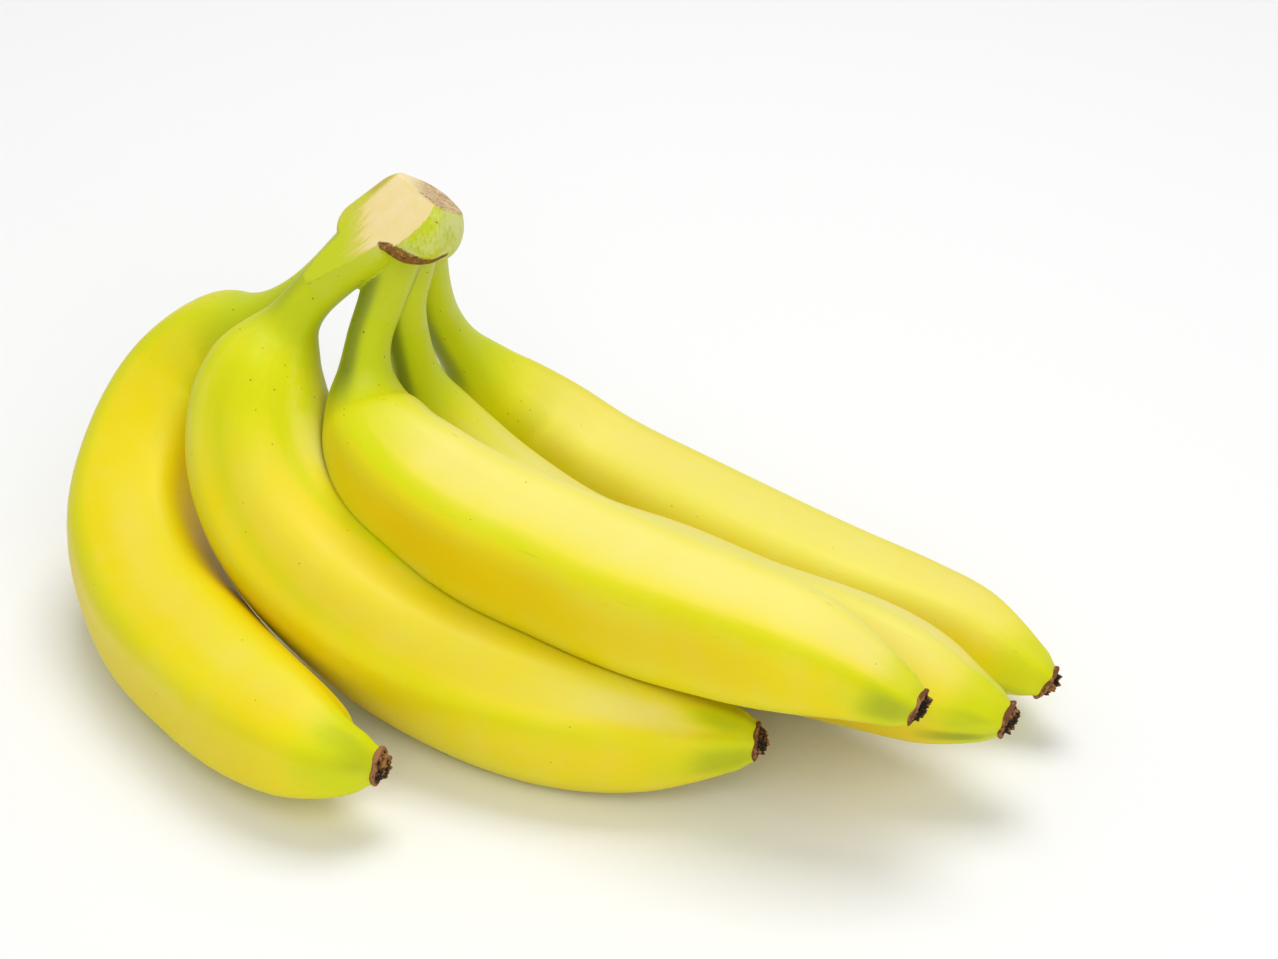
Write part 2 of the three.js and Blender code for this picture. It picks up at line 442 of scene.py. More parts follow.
def operator(operation: str, flipped: bool = False) -> Callable[["Sock", object], "Sock"]:
    """Makes a method that adds a Math node of a socket and another value, or the other way round."""

    def method(self: "Sock", other: object) -> "Sock":
        """The operation's result."""
        values = (other, self) if flipped else (self, other)
        return self.finish.add("ShaderNodeMath", {"operation": operation}, *values)

    return method


class Sock:
    """A shader socket that can be added, multiplied and so on, as a number can."""

    def __init__(self, finish: "Shader", socket: bpy.types.NodeSocket) -> None:
        """Wraps a socket of a finish's node tree."""
        self.finish = finish
        self.socket = socket

    __add__ = __radd__ = operator("ADD")
    __sub__ = operator("SUBTRACT")
    __rsub__ = operator("SUBTRACT", flipped=True)
    __mul__ = __rmul__ = operator("MULTIPLY")
    least = operator("MINIMUM")

    def step(self, low: float, high: float) -> "Sock":
        """A soft step from 0 at low to 1 at high. low may be the larger of the two."""
        settings = {"interpolation_type": "SMOOTHSTEP"}
        ends = (low, high, 0.0, 1.0) if low < high else (high, low, 1.0, 0.0)
        return self.finish.add("ShaderNodeMapRange", settings, self, *ends)


class Shader:
    """A material's node tree, built by expressions."""

    def __init__(self, name: str) -> None:
        """Starts a material with its Principled shader."""
        self.material = bpy.data.materials.new(name)
        self.material.use_nodes = True
        self.tree = self.material.node_tree
        self.surface = self.tree.nodes["Principled BSDF"]

    def add(self, kind: str, settings: dict[str, object], *values: object, **named: object) -> Sock:
        """Adds a node.

        Args:
            kind: the node's type.
            settings: its properties, set first.
            *values: values or links of its sockets in order.
            **named: values or links of its sockets by name.

        Returns:
            The node's first shown output.
        """
        node = self.tree.nodes.new(kind)
        for name, value in settings.items():
            setattr(node, name, value)
        shown = [s for s in node.inputs if s.enabled]
        for socket, value in zip(shown, values):
            self._feed(socket, value)
        for name, value in named.items():
            self._feed(next(s for s in shown if s.name == name.replace("_", " ")), value)
        return Sock(self, next(s for s in node.outputs if s.enabled))

    def _feed(self, socket: bpy.types.NodeSocket, value: object) -> None:
        """Links a socket to another, or gives it a value."""
        if isinstance(value, Sock):
            self.tree.links.new(value.socket, socket)
        elif isinstance(value, tuple) and len(value) == 3 and socket.type == "RGBA":
            socket.default_value = (*value, 1.0)
        else:
            socket.default_value = value

    def place(self) -> Sock:
        """The place on the object, in metres."""
        node = self.tree.nodes.new("ShaderNodeTexCoord")
        return Sock(self, node.outputs["Object"])

    def attribute(self, name: str, vector: bool = False) -> Sock:
        """A named attribute of the mesh, as a number or a vector."""
        node = self.tree.nodes.new("ShaderNodeAttribute")
        node.attribute_name = name
        return Sock(self, node.outputs["Vector" if vector else "Fac"])

    def stretch(self, vector: Sock, scale: Triple) -> Sock:
        """A vector scaled along its axes."""
        return self.add("ShaderNodeVectorMath", {"operation": "MULTIPLY"}, vector, scale)

    def noise(self, vector: Sock, size: float, detail: float = 2.0, rough: float = 0.5) -> Sock:
        """Noise from 0 to 1 whose bumps are that many metres apart."""
        return self.add(
            "ShaderNodeTexNoise", {}, Vector=vector, Scale=1 / size, Detail=detail, Roughness=rough
        )

    def dots(self, vector: Sock, size: float, reach: float, share: float) -> Sock:
        """Small dots, 1 at their middles, in that share of the cells.

        Args:
            vector: where to read.
            size: how far apart the cells are, in metres.
            reach: a dot's radius as a share of the cell size.
            share: how many of the cells have a dot.

        Returns:
            1 in a dot and 0 outside.
        """
        node = self.tree.nodes.new("ShaderNodeTexVoronoi")
        self._feed(node.inputs["Vector"], vector)
        self._feed(node.inputs["Scale"], 1 / size)
        near = Sock(self, node.outputs["Distance"])
        pick = self.add("ShaderNodeSeparateColor", {}, Sock(self, node.outputs["Color"]))
        core, soft = 0.55, 0.02
        return near.step(reach, reach * core) * pick.step(1 - share - soft, 1 - share + soft)

    def mix(self, factor: object, low: object, high: object) -> Sock:
        """Mixes two colours, from low at 0 to high at 1."""
        node = self.tree.nodes.new("ShaderNodeMix")
        node.data_type = "RGBA"
        for name, value in (("Factor_Float", factor), ("A_Color", low), ("B_Color", high)):
            self._feed(next(s for s in node.inputs if s.identifier == name), value)
        return Sock(self, next(s for s in node.outputs if s.identifier == "Result_Color"))

    def coat(self, color: object, *layers: tuple[object, object]) -> Sock:
        """Lays tints over a colour in order, each given as its factor and its colour."""
        for factor, tint in layers:
            color = self.mix(factor, color, tint)
        return color

    def bump(self, height: Sock, strength: float, depth: float, below: Sock | None = None) -> Sock:
        """Small relief on the bump below, where a height of 1 is that depth in metres."""
        under = {"Normal": below} if below else {}
        return self.add(
            "ShaderNodeBump", {}, Strength=strength, Distance=depth, Height=height, **under
        )

    def finish(self, color: Sock, roughness: object, normal: Sock, **constants: float) -> Material:
        """Feeds the Principled shader, and gives the numbers to its sockets of those names."""
        fed = {"Base Color": color, "Roughness": roughness, "Normal": normal, **constants}
        for name, value in fed.items():
            self._feed(self.surface.inputs[name.replace("_", " ")], value)
        return self.material


# ---- Finishes ----


@dataclass(frozen=True)
class SkinFinish:
    """Waxy banana skin, yellow in the body and green along the ridges, neck and tip."""

    yellow: Triple = (0.84, 0.72, 0.006)
    # Warm gold: a random warm tone, and painted warm shade on the lower flanks and where the fruits touch.
    warm_and_shade: Triple = (0.82, 0.58, 0.001)
    # Pale cream: random pale mottle, and painted highlight on the upper faces.
    pale: Triple = (0.85, 0.76, 0.24)
    # Dark olive: painted shade on the necks' flanks between neighbours, and real olive smudges at the tips.
    deep: Triple = (0.17, 0.22, 0.020)
    lime: Triple = (0.66, 0.68, 0.003)
    neck: Triple = (0.54, 0.61, 0.009)
    smudge: Triple = (0.26, 0.32, 0.030)
    speck: Triple = (0.10, 0.055, 0.015)
    scuff: Triple = (0.42, 0.24, 0.03)
    roughness: float = 0.42

    # How far apart the bumps of its noises are, in metres.
    BROAD, PATCH, MOTTLE, BRUISE = 0.055, 0.016, 0.008, 0.012
    FIBRE, SCRATCH, THREAD, PORE, WAX = 0.0016, 0.0010, 0.0012, 0.0007, 0.010
    # Cell size in metres, radius and share of cells of its many specks, at the neck, and its few.
    MANY, FEW = (0.0030, 0.10, 0.70), (0.0060, 0.042, 0.50)

    def color(self, shader: Shader) -> Sock:
        """Paints the skin from the neck to the tip: its base colour."""
        where = shader.place()
        read = shader.attribute
        broad = shader.noise(where, self.BROAD)
        patch = shader.noise(where, self.PATCH, 3.0)
        mottle = shader.noise(where, self.MOTTLE, 2.0, 0.4)
        grain = shader.stretch(read("grain", vector=True), (1.0, 1.0, 0.08))
        long_grain = shader.stretch(read("grain", vector=True), (1.0, 1.0, 0.05))
        fibre = shader.noise(grain, self.FIBRE, 3.0, 0.6)
        scratch = shader.noise(long_grain, self.SCRATCH, 2.0, 0.6).step(0.64, 0.72)
        uneven = (patch - 0.5) * 0.35 + (fibre - 0.5) * 0.20
        varied = patch * 0.4 + 0.8
        neck = (read("neck") + uneven * 0.7).step(0.10, 0.90)
        tip = (read("tip") + uneven * 1.2).step(0.15, 0.95)
        bands = read("ridge") * (broad + 0.2).step(0.30, 0.80) * 0.22
        green = (read("green") * (fibre * 0.6 + 0.7) + bands + tip * 0.7).least(1.0)
        bruise = tip * shader.noise(grain, self.BRUISE, 2.0).step(0.52, 0.72) * 0.45
        many = shader.dots(where, *self.MANY) * read("share").step(0.36, 0.16)
        few = shader.dots(where, *self.FEW)
        return shader.coat(
            self.yellow,
            (broad.step(0.45, 0.75) * 0.45, self.warm_and_shade),
            (mottle.step(0.30, 0.80) * 0.14, self.pale),
            # Painted warm shade on the lower flanks and where the fruits touch.
            (read("warm_and_shade") * varied, self.warm_and_shade),
            # Mostly painted highlight on the upper faces, with a few real pale bands by the neck and tip.
            (read("pale") * varied, self.pale),
            (green, self.lime),
            (tip * 0.35, self.neck),
            (neck, self.neck),
            # Painted shade on the necks' flanks between neighbours, and real olive smudges at the tips.
            (read("deep") * varied, self.deep),
            (bruise, self.smudge),
            ((fibre - 0.5) * 0.10 + 0.05, self.neck),
            (scratch * patch.step(0.52, 0.66) * (read("ridge") * 0.22 + 0.05), self.scuff),
            ((many * 0.85 + few * 0.6).least(1.0), self.speck),
        )

    def normal(self, shader: Shader) -> Sock:
        """Fine pores and lengthwise fibres as relief."""
        grain = shader.stretch(shader.attribute("grain", vector=True), (1.0, 1.0, 0.06))
        fibres = shader.bump(shader.noise(grain, self.THREAD, 2.0), 0.25, 0.00010)
        return shader.bump(shader.noise(shader.place(), self.PORE, 2.0), 0.18, 0.00008, fibres)

    def material(self) -> Material:
        """Makes the skin's material."""
        shader = Shader("skin")
        rough = shader.noise(shader.place(), self.WAX, 3.0) * 0.12 + (self.roughness - 0.06)
        return shader.finish(
            self.color(shader), rough, self.normal(shader), Specular_IOR_Level=0.18, **FLESHY
        )


@dataclass(frozen=True)
class CrownFinish:
    """The crown: green skin, a fresh cream cut, a corky older cut and a brown scar rim."""

    skin: SkinFinish = SkinFinish()
    cream: Triple = (0.86, 0.70, 0.37)
    straw: Triple = (0.78, 0.62, 0.16)
    edge: Triple = (0.42, 0.24, 0.04)
    cork: Triple = (0.62, 0.42, 0.22)
    bark: Triple = (0.20, 0.085, 0.012)
    rust: Triple = (0.45, 0.24, 0.035)
    burnt: Triple = (0.045, 0.018, 0.005)
    bloom: Triple = (0.66, 0.69, 0.27)
    sap: Triple = (0.58, 0.58, 0.05)

    # How far apart the bumps of its noises are, in metres.
    STREAK, FLECK, THREAD, CHIP = 0.00055, 0.0011, 0.0007, 0.002
    FLESH_CLOUD, SKIN_CLOUD = 0.007, 0.006

    def flesh(self, shader: Shader) -> Sock:
        """Paints the fresh cut, which runs out in streaks along a neck."""
        where = shader.place()
        grain = shader.stretch(shader.attribute("grain", vector=True), (1.0, 1.0, 0.10))
        streak = shader.noise(grain, self.STREAK, 2.0, 0.6)
        cloud = shader.noise(where, self.FLESH_CLOUD, 3.0)
        runout = shader.attribute("runout")
        border = shader.attribute("border")
        rim = shader.attribute("fresh").step(1.0, 0.75)
        high = shader.attribute("high") * (border + (streak - 0.5) * 0.8).step(0.55, 0.95)
        return shader.coat(
            self.cream,
            (cloud.step(0.30, 0.75) * 0.45, self.straw),
            ((runout + (streak - 0.5) * 0.5).step(0.05, 0.60) * 0.8, self.straw),
            ((runout + (streak - 0.5) * 1.0).step(0.26, 0.62) * 0.85, self.sap),
            ((runout + (streak - 0.5) * 0.7).step(0.60, 0.88), self.skin.neck),
            ((border + (cloud - 0.5) * 1.6).step(0.25, 1.05) * 0.9, self.sap),
            (rim * shader.noise(where, self.CHIP).step(0.35, 0.65) * 0.6, self.edge),
            (high * 0.45, self.rust),
        )

    def material(self) -> Material:
        """Makes the crown's material."""
        shader = Shader("crown")
        where = shader.place()
        fresh, old, scar, lobe = (shader.attribute(name) for name in ("fresh", "old", "scar", "lobe"))
        cloud = shader.noise(where, self.SKIN_CLOUD, 3.0)
        fleck = shader.noise(where, self.FLECK, 3.0, 0.65)
        upright = shader.noise(shader.stretch(where, (1.0, 1.0, 0.35)), self.THREAD, 3.0, 0.65)
        thread = shader.noise(shader.stretch(where, (0.45, 1.0, 1.0)), self.THREAD, 3.0, 0.7)
        cork = shader.coat(
            self.cork,
            (cloud.step(0.30, 0.70) * 0.6, self.cream),
            (thread.step(0.48, 0.60) * 0.60, self.bark),
            (fleck.step(0.56, 0.64) * 0.65, self.burnt),
        )
        bark = shader.coat(
            self.bark,
            (fleck.step(0.54, 0.68), self.rust),
            (thread.step(0.46, 0.34) * 0.8, self.burnt),
        )
        color = shader.coat(
            self.skin.color(shader),
            (lobe * upright.step(0.50, 0.34) * 0.26, self.skin.smudge),
            (lobe * (cloud + (upright - 0.5) * 0.5).step(0.34, 0.60) * 0.68, self.bloom),
            (fresh.step(0.2, 0.7), self.flesh(shader)),
            (old, shader.mix(shader.attribute("corky"), self.cream, cork)),
            (scar, bark),
        )
        dry = (fresh + old + scar).least(1.0)
        relief = shader.bump(fleck, 0.5, 0.00025)
        return shader.finish(color, dry * 0.35 + 0.42, relief, Specular_IOR_Level=0.4, **FLESHY)


@dataclass(frozen=True)
class FlowerEndFinish:
    """The dry crust at a tip: tan at its edge, rusty folds with gold crests and black pits."""

    tan: Triple = (0.36, 0.165, 0.06)
    rust: Triple = (0.17, 0.065, 0.020)
    pit: Triple = (0.022, 0.012, 0.006)
    gold: Triple = (0.36, 0.18, 0.05)
    ash: Triple = (0.26, 0.23, 0.20)

    # How far apart the bumps of its noises are, in metres.
    FLECK, PATCH, ASH = 0.0005, 0.0035, 0.0004

    def material(self) -> Material:
        """Makes the flower end's material."""
        shader = Shader("flower_end")
        where = shader.place()
        fleck = shader.noise(where, self.FLECK, 4.0, 0.75)
        patch = shader.noise(where, self.PATCH, 2.0)
        height = shader.attribute("crest") + (fleck - 0.5) * 0.8
        brim = shader.mix((height + (patch - 0.5) * 0.7).step(0.62, 0.40), self.tan, self.rust)
        color = shader.coat(
            self.pit,
            ((height + (patch - 0.5) * 0.6).step(0.42, 0.66), self.rust),
            (height.step(0.66, 0.80) * 0.85, self.gold),
            (shader.attribute("edge"), brim),
            (shader.noise(where, self.ASH, 2.0, 0.6).step(0.60, 0.70) * 0.6, self.ash),
        )
        return shader.finish(color, 0.78, shader.bump(fleck, 0.7, 0.0004), Specular_IOR_Level=0.20)


# ---- Fruits ----


@dataclass(frozen=True)
class Wash:
    """A soft patch of tint along one side of a fruit. It may turn by some degrees on the way."""

    start: float
    end: float
    angle: float
    spread: float
    strength: float
    soft: float = 0.06
    turn: float = 0.0

    FLATNESS = 3.5

    def cover(self, share: Array, angle: Array) -> Array:
        """Finds how strongly the wash covers points at those shares and angles, in radians."""
        along = smoothstep(self.start - self.soft, self.start + self.soft, share)
        along = along * smoothstep(self.end + self.soft, self.end - self.soft, share)
        middle = self.angle + self.turn * (share - self.start) / (self.end - self.start)
        off = (np.degrees(angle) - middle + 180) % 360 - 180
        return self.strength * along * np.exp(-(np.abs(off / self.spread) ** self.FLATNESS))


@dataclass
class Fruit:
    """One banana with its neck.

    Attributes:
        number: its place from the left.
        girth: factor on the common girth.
        early: how early the body swells, as a share of the length.
        late: how late the tip tapers, as a share of the length.
        ridges: angle round the fruit in degrees, and strength, of each of its ridges.
        wind: how far the ridges wind round it from end to end, in degrees.
        spine: layout points in mm, from the crown to the tip.
        neck_end: the share of the length where the green neck ends.
        slant: angle in degrees at which the cut-off tip reaches further out, and its slope.
        washes: each tint's patches over its yellow, as the values of a Wash. Some are painted shade and
            painted highlight.
        path: the smooth path through the spine.
    """

    number: int
    girth: float
    early: float
    late: float
    ridges: tuple[tuple[float, float], ...]
    wind: float
    neck_end: float
    slant: tuple[float, float]
    spine: tuple[Triple, ...]
    washes: dict[Tint, tuple[tuple[float, ...], ...]]
    path: Path = field(init=False)

    RIDGES = 5
    ROUND = 40
    STATIONS = (
        0.11, 0.135, 0.16, 0.185, 0.21, 0.235, 0.26, 0.29, 0.32, 0.36, 0.41, 0.47, 0.53, 0.59, 0.65,
        0.71, 0.77, 0.82, 0.86, 0.895, 0.925, 0.95, 0.97, 0.985, 1.0,
    )
    # Where the ridges lie as stated, as a share. They wind from there.
    WIND_FROM = 0.6
    # The section: how far its corners would stand out, how soft they are, and its mean radius.
    CORNER, SOFT, MEAN = 1.125, 0.035, 1.060
    # How five-sided the neck is, how much more the body is, and where the body's shape fades in.
    NECK_SIDES, BODY_SIDES = 0.12, 0.66
    BODY_FROM = (0.14, 0.36)
    # The skin's own lumps: how far apart in metres, how high in mm, and where they fade in.
    LUMP_SIZE, LUMP_HEIGHT = 0.030, 0.20
    LUMPS_FROM = (0.14, 0.3)
    # How much the tip draws in at its very end.
    TIP_DRAW, TIP_FROM = 0.17, 0.982
    # The shares between which it presses on its neighbour, and the gap it keeps, in mm.
    PRESS_FROM, PRESS_TO, TOUCH_GAP = 0.16, 0.985, 0.15

    def __post_init__(self) -> None:
        """Makes the path."""
        self.path = Path(self.spine)

    def turned(self, angle: Array, share: Array) -> tuple[Array, Array]:
        """Finds where points lie among the ridges, which wind a little along the fruit.

        Args:
            angle: angles round the fruit.
            share: shares of its length.

        Returns:
            For each, the angle in a section with even ridges and the ridges' strength there.
        """
        first = self.ridges[0][0]
        degrees = np.degrees(angle) - self.wind * (share - self.WIND_FROM) - first
        stops = [ridge[0] - first for ridge in self.ridges] + [360]
        bold = np.array([ridge[1] for ridge in self.ridges] + [self.ridges[0][1]])
        place_among = np.interp(degrees % 360, stops, np.arange(self.RIDGES + 1))
        lower = np.minimum(place_among.astype(int), self.RIDGES - 1)
        blend = smoothstep(0, 1, place_among - lower)
        strength = bold[lower] * (1 - blend) + bold[lower + 1] * blend
        return place_among * 2 * math.pi / self.RIDGES, strength

    def face_shape(self, angle: Array, share: Array) -> Array:
        """The five-sided section: the radius round the fruit over its mean."""
        period = 2 * math.pi / self.RIDGES
        turned, strength = self.turned(angle, share)
        off = (turned + period / 2) % period - period / 2
        flat = 1 / np.cos(period / 2 - np.abs(off))
        corner = math.exp(-self.CORNER / self.SOFT)
        rounded = -self.SOFT * np.log(np.exp(-flat / self.SOFT) + corner)
        amount = (self.NECK_SIDES + self.BODY_SIDES * smoothstep(*self.BODY_FROM, share)) * strength
        return 1 + amount * (rounded / self.MEAN - 1)

    def ridge_mask(self, angle: Array, share: Array) -> Array:
        """1 on a ridge, 0 in the middle of a face."""
        turned, strength = self.turned(angle, share)
        return smoothstep(0.1, 1.0, np.cos(self.RIDGES * turned)) * np.minimum(strength, 1)

    def radius(self, share: Array, angle: Array) -> Array:
        """The skin's distance from the spine, in metres."""
        lead = self.early * smoothstep(0.10, 0.26, share) * smoothstep(0.6, 0.3, share)
        lead = lead - self.late * np.sin(np.pi * np.clip((share - 0.75) / 0.25, 0, 1))
        plain = table_at(GIRTH, np.clip(share + lead, 0, 1)) * self.girth * MM
        return plain * self.face_shape(angle, share)

    def lean(self, angle: Array, reach: Array) -> Array:
        """How much further out the slanted tip reaches, as a share of the length."""
        toward = np.cos(angle - math.radians(self.slant[0]))
        return self.slant[1] * reach * toward / self.path.length

    def tinted(self, tint: Tint, share: Array, angle: Array) -> Array:
        """Finds how strongly a tint's washes cover each point.

        Args:
            tint: which tint.
            share: shares of the fruit's length.
            angle: angles round the fruit.

        Returns:
            From 0 to 1.
        """
        cover = np.zeros(len(share))
        for values in self.washes.get(tint, ()):
            cover = cover + Wash(*values).cover(share, angle)
        if tint is Tint.GREEN:
            cover = cover + 0.5 * smoothstep(self.neck_end + 0.18, self.neck_end + 0.02, share)
        return np.minimum(cover, 1)

    def note_skin(self, piece: Piece, share: Array, angle: Array) -> None:
        """Keeps the shares, ridges, tints (painted shade and highlight among them) and lengthwise grain
        that the finish reads.
        """
        reach = self.radius(share, angle)
        store(
            piece,
            share=share,
            ridge=self.ridge_mask(angle, share),
            neck=smoothstep(self.neck_end + 0.08, self.neck_end - 0.06, share),
            tip=smoothstep(0.91, 1.0, share),
            **{tint.value: self.tinted(tint, share, angle) for tint in Tint},
            grain=np.stack([reach * np.cos(angle), reach * np.sin(angle), share * self.path.length], 1),
        )

    def press(self, points: Array) -> Array:
        """Pushes points of a neighbour out of this fruit."""
        share, angle, away = self.path.nearest(points)
        limit = self.radius(np.clip(share, 0, 1), angle) + self.TOUCH_GAP * MM
        inside = (away < limit) & (share > self.PRESS_FROM) & (share < self.PRESS_TO)
        return np.where(inside[:, None], self.path.around(share, angle, limit), points)

    def build(self, before: "Fruit | None", finish: Material) -> None:
        """Models the fruit.

        Args:
            before: the fruit that may press on this one.
            finish: the skin's material.
        """
        piece = sleeve(f"skin_{self.number}", [(share, 1.0) for share in self.STATIONS], self.ROUND)
        modify(piece, "SUBSURF", levels=2, render_levels=2)
        straight = corners(piece)
        share = np.clip(straight[:, 2], NECK_SEAM, 1)
        angle = np.arctan2(straight[:, 1], straight[:, 0])
        swell = smoothstep(*self.LUMPS_FROM, share)
        reach = self.radius(share, angle) * (1 - self.TIP_DRAW * smoothstep(self.TIP_FROM, 1.0, share))
        lumps = noise_at(self.path.around(share, angle, reach), self.LUMP_SIZE, self.number)
        leant = share + self.lean(angle, reach) * smoothstep(0.95, 1.0, share)
        reach = reach + swell * (lumps * self.LUMP_HEIGHT - self.LUMP_HEIGHT) * MM
        points = self.path.around(leant, angle, reach)
        if before:
            points = before.press(points)
        points = np.clip(points, *CAD_BOX)
        points[:, 2] = np.maximum(points[:, 2], 0)
        set_corners(piece, points)
        self.note_skin(piece, share, angle)
        close(piece)
        dress(piece, finish, Slot.SKIN, f"banana_{self.number}")


# The washes paint warm shade on lower flanks and contacts, highlight on upper faces, and olive shade on the
# necks' flanks.
FRUITS = (
    Fruit(
        number=1, girth=0.96, early=0.015, late=0.04, wind=0, neck_end=0.235, slant=(160, -0.12),
        ridges=((153, 1.0), (229, 1.1), (301, 1.0), (373, 1.0), (443, 1.0)),
        spine=(
            (-41, 47, 102), (-49, 48, 94), (-56, 49, 86.5), (-65, 53, 77), (-75, 58, 68), (-84.5, 63.5, 60),
            (-93.5, 62.5, 49), (-101, 51, 36), (-103.5, 32, 26), (-95.5, 7, 18.4), (-81, -18, 17.4),
            (-65, -38.5, 18), (-51, -52, 18.5), (-40, -54, 17),
        ),
        washes={
            Tint.GREEN: ((0.25, 0.72, 156, 9, 0.35), (0.94, 1.00, 165, 60, 0.8, 0.02)),
            Tint.WARM_SHADE: (
                (0.36, 0.96, 250, 26, 0.9), (0.28, 0.80, 190, 34, 0.35), (0.84, 0.94, 175, 40, 0.4),
                (0.45, 0.94, 112, 24, 0.4),
            ),
            Tint.PALE_AND_HIGHLIGHT: ((0.50, 0.95, 200, 16, 0.15),),
            Tint.OLIVE_AND_SHADE: ((0.965, 1.00, 168, 30, 0.35, 0.02),),
        },
    ),
    Fruit(
        number=2, girth=0.995, early=0.095, late=0.005, wind=50, neck_end=0.165, slant=(190, 0.0),
        ridges=((159, 1.1), (210, 0.5), (262, 1.1), (330, 1.0), (430, 0.9)),
        spine=(
            (-39, 41, 106), (-46, 39, 99.5), (-53, 39, 93), (-60.3, 38.3, 85.3), (-65.5, 38, 77),
            (-70, 35, 68), (-72, 30, 58), (-70, 20, 45), (-62.5, 10, 35), (-47.5, -2.5, 25.5),
            (-28, -16.5, 19.5), (-3, -31.5, 17.1), (22, -40.5, 17.1), (46, -44.5, 17),
        ),
        washes={
            Tint.GREEN: (
                (0.24, 0.85, 172, 7, 0.35), (0.90, 0.99, 140, 26, 0.7, 0.03),
                (0.93, 0.99, 212, 14, 0.9, 0.03), (0.16, 0.32, 190, 75, 0.5, 0.08),
                (0.20, 0.55, 214, 7, 0.6, 0.04, 38), (0.52, 0.86, 250, 8, 0.5, 0.05, 4),
            ),
            Tint.WARM_SHADE: (
                (0.34, 0.80, 205, 30, 0.35), (0.44, 0.62, 108, 20, 1.0), (0.30, 0.94, 148, 24, 0.35),
            ),
            Tint.PALE_AND_HIGHLIGHT: (
                (0.170, 0.190, 178, 52, 0.45, 0.015), (0.18, 0.42, 236, 9, 0.8, 0.03, 28),
                (0.42, 0.82, 264, 9, 0.8, 0.04, 4), (0.32, 0.92, 205, 26, 0.15),
                (0.19, 0.30, 146, 10, 0.6), (0.20, 0.36, 250, 24, 0.5), (0.82, 0.93, 200, 14, 0.5),
                (0.985, 1.00, 205, 45, 0.5, 0.008),
            ),
            Tint.OLIVE_AND_SHADE: (
                (0.00, 0.16, 130, 30, 0.30, 0.03), (0.94, 1.00, 140, 26, 0.35, 0.02),
                (0.94, 0.99, 212, 9, 0.25, 0.02),
            ),
        },
    ),
    Fruit(
        number=3, girth=0.94, early=0.05, late=0.0, wind=15, neck_end=0.195, slant=(185, 0.10),
        ridges=((174, 1.25), (246, 1.0), (318, 1.0), (390, 1.0), (458, 1.0)),
        spine=(
            (-37, 46, 102), (-39, 42, 95), (-42, 37, 87), (-45, 33, 79), (-46, 29.5, 71), (-45, 24, 64),
            (-39.5, 14, 57.5), (-28.5, 6, 51.5), (-16, -4, 48.5), (3, -15.5, 46), (22, -28.5, 45),
            (40, -39.5, 45), (62, -51.5, 43.5), (81, -60.5, 38),
        ),
        washes={
            Tint.GREEN: (
                (0.92, 1.0, 150, 30, 0.7, 0.03), (0.20, 0.55, 183, 8, 0.7),
                (0.17, 0.30, 205, 26, 0.45, 0.05), (0.55, 0.96, 180, 7, 0.4),
            ),
            Tint.WARM_SHADE: ((0.26, 0.60, 148, 28, 0.9), (0.60, 0.86, 142, 20, 0.4)),
            Tint.PALE_AND_HIGHLIGHT: ((0.26, 0.98, 224, 32, 0.65), (0.20, 0.98, 254, 10, 0.4)),
            Tint.OLIVE_AND_SHADE: (
                (-0.10, 0.21, 156, 26, 0.85, 0.04), (-0.10, 0.11, 285, 12, 0.35, 0.03),
                (0.95, 1.0, 150, 28, 0.45, 0.02),
            ),
        },
    ),
    Fruit(
        number=4, girth=0.94, early=0.01, late=0.03, wind=0, neck_end=0.205, slant=(222, 0.10),
        ridges=((265, 1.1), (337, 1.0), (409, 1.0), (481, 1.0), (553, 1.0)),
        spine=(
            (-35, 50, 99), (-36, 47, 92), (-37.5, 44, 83), (-36.5, 44, 72), (-34, 45, 59.5),
            (-29, 44, 48), (-21.5, 39, 37), (-13, 33, 30), (2, 21, 25), (22, 8, 24.5), (42, -6, 24),
            (60, -18.5, 26), (76, -30, 27), (90, -39, 25.5), (103, -45, 23.5),
        ),
        washes={
            Tint.GREEN: ((0.94, 1.0, 175, 60, 0.6, 0.03),),
            Tint.WARM_SHADE: ((0.55, 0.92, 130, 40, 0.8),),
            Tint.PALE_AND_HIGHLIGHT: ((0.24, 0.95, 280, 56, 0.75),),
            Tint.OLIVE_AND_SHADE: ((-0.10, 0.20, 182, 22, 0.75, 0.03), (0.93, 0.985, 152, 12, 0.6, 0.02)),
        },
    ),
    Fruit(
        number=5, girth=0.93, early=0.02, late=0.012, wind=10, neck_end=0.205, slant=(266, 0.55),
        ridges=((272, 0.9), (344, 1.0), (416, 1.0), (488, 1.0), (560, 1.0)),
        spine=(
            (-34, 58, 95), (-33.5, 57, 87), (-31.5, 58.5, 75), (-28, 63.5, 63), (-23, 68, 52),
            (-17, 71, 41), (-8, 72, 30), (7, 66, 20), (27, 49, 17.3), (47, 31.5, 17.2), (66, 16.5, 17.2),
            (84, 4.5, 17.3), (98, -4.5, 17.5), (115, -17.5, 14.5),
        ),
        washes={
            Tint.GREEN: ((0.18, 0.50, 244, 12, 0.3),),
            Tint.WARM_SHADE: ((0.40, 0.95, 248, 18, 0.2),),
            Tint.PALE_AND_HIGHLIGHT: ((0.25, 0.95, 300, 44, 0.6),),
            Tint.OLIVE_AND_SHADE: ((-0.10, 0.21, 198, 24, 0.65, 0.03),),
        },
    ),
)


# ---- Crown ----


